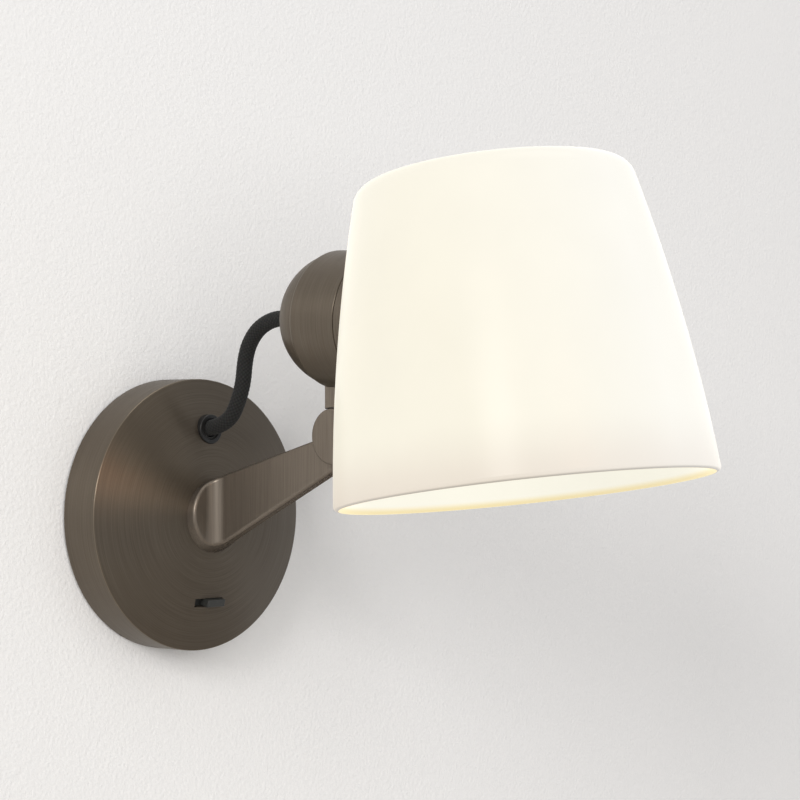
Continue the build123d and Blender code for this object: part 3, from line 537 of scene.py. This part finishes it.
def lit_opal():
    """Opal glass lit from behind: brightest at the front of the globe, with the faint clouds of its frosting."""
    finish, tree, shader = new_finish(
        "opal_glass_lit", Roughness=0.3, IOR=1.5, Base_Color=colour(globe_tone), Emission_Color=colour(globe_glow)
    )
    place = object_place(tree)
    front = ramp(tree, parts_of(tree, place)["Y"], globe_back, globe_front, globe_dim, globe_bright)
    cloud = ramp(tree, noise(tree, place, frost_patch)["Fac"], 0, 1, low=0.9, high=1.1)
    feed(tree, shader, Emission_Strength=arithmetic(tree, "MULTIPLY", front, cloud))
    return finish


give(moulded_plastic("white_polycarbonate_moulded", "#e8e7e3", 0.4), "bulb_body")
give(plated_steel, "bulb_cap")
give(lit_opal(), "bulb_globe")

# Wall and floor
# A plastered wall painted off-white, open behind the back plate as at a wiring box, and a pale floor below.
# Both are seen from the room only, so that the lamp can be looked at from behind.

wall_gap = 0.0006
wall_hole = 0.055
wall_rays = 120
room_half_width, room_height, room_depth = 3.0, 2.2, 4.0
floor_level = -1.5
stipple_detail = 3.0


def pierced_wall(hole, half_width, low, high, depth):
    """A flat wall facing -Y: a ring of points on a round hole, each drawn straight out to the wall's edge."""
    angle = -2 * np.pi * (np.arange(wall_rays) + 0.5) / wall_rays
    out = np.stack([np.cos(angle), np.zeros(wall_rays), np.sin(angle)], -1)
    across = half_width / np.abs(out[:, 0])
    up = np.where(out[:, 2] > 0, high, -low) / np.abs(out[:, 2])
    reach = np.stack([np.full(wall_rays, hole), np.minimum(across, up)])
    return reach[..., None] * out + np.array((0, depth, 0))


def flat_floor(half_width, near, far, level):
    """A flat floor facing up: two points along X at its near edge and two at the wall."""
    return np.array([[(side * half_width, edge, level) for side in (-1, 1)] for edge in (near, far)])


def stage_piece(name, places, closed_rows, finish):
    """One flat sheet of the room, which isn't part of the lamp."""
    sheet = grid_piece(name, places, closed_rows=closed_rows, closed_ends=False)
    sheet.data.materials.append(finish)


def room_paint(name, tone, grain, depth):
    """Matt emulsion paint with the stipple of a roller, clear when seen from its back."""
    finish, tree, shader = new_finish(name, Roughness=0.9, Base_Color=colour(tone), Specular_IOR_Level=0.2)
    stipple = noise(tree, object_place(tree), grain, stipple_detail)["Fac"]
    feed(tree, shader, Normal=relief(tree, stipple, depth, strength=0.4))
    behind = add_node(tree, "ShaderNodeNewGeometry").outputs["Backfacing"]
    clear = add_node(tree, "ShaderNodeBsdfTransparent").outputs[0]
    shown = add_node(tree, "ShaderNodeMixShader", {0: behind, 1: shader.outputs[0], 2: clear}).outputs[0]
    tree.links.new(shown, tree.nodes["Material Output"].inputs["Surface"])
    return finish


stage_piece(
    "room_wall",
    pierced_wall(wall_hole, room_half_width, floor_level, room_height, wall_gap),
    True,
    room_paint("emulsion_wall", "#f5f4f3", 0.0016, 0.0009),
)
stage_piece(
    "room_floor",
    flat_floor(room_half_width, -room_depth, wall_gap, floor_level),
    False,
    room_paint("emulsion_floor", "#bdb7af", 0.008, 0.0002),
)

# Light
# A large soft light from the left throws the lamp's shadow along the wall, and one behind the viewer fills it.
# Three more are seen in the metal only, as the sheen on its brushed faces. The room's air is an even pale grey.


def soft_light(name, place, aim, size, watts, tint):
    """A square area light at a place, facing an aim."""
    lamp = bpy.data.lights.new(name, "AREA")
    lamp.size, lamp.energy, lamp.color = size, watts, colour(tint)[:3]
    holder = bpy.data.objects.new(name, lamp)
    direction = Vector(aim) - Vector(place)
    holder.matrix_world = Matrix.Translation(place) @ direction.to_track_quat("-Z", "Y").to_matrix().to_4x4()
    bpy.context.scene.collection.objects.link(holder)
    return holder


soft_light("light_left", (-6.2, -3.25, 2.5), (0, -0.1, 0.05), size=2.2, watts=205, tint="#fffdfb")
fill = soft_light("light_behind_viewer", (-1.7, -3.4, 0.8), (0, -0.1, 0.0), size=2.4, watts=55, tint="#fffdfa")
fill.visible_glossy = False
for sheen in (
    soft_light("light_across_room", (-1.0, -3.2, 1.0), (0, 0, 0), size=0.9, watts=10, tint="#ffa048"),
    soft_light("light_far_right", (3.0, -1.1, -0.5), (0, 0, 0), size=2.2, watts=3.5, tint="#eef4ff"),
    soft_light("light_overhead", (0.4, -1.2, 3.0), (0, 0, 0), size=2.0, watts=22, tint="#fffaf2"),
):
    sheen.visible_diffuse = False

room = bpy.data.worlds.new("room_air")
room.use_nodes = True
bpy.context.scene.world = room
air = room.node_tree.nodes["Background"]
air.inputs["Strength"].default_value = 0.50
air.inputs["Color"].default_value = colour("#f9fbff")
bpy.context.scene.view_settings.view_transform = "Standard"
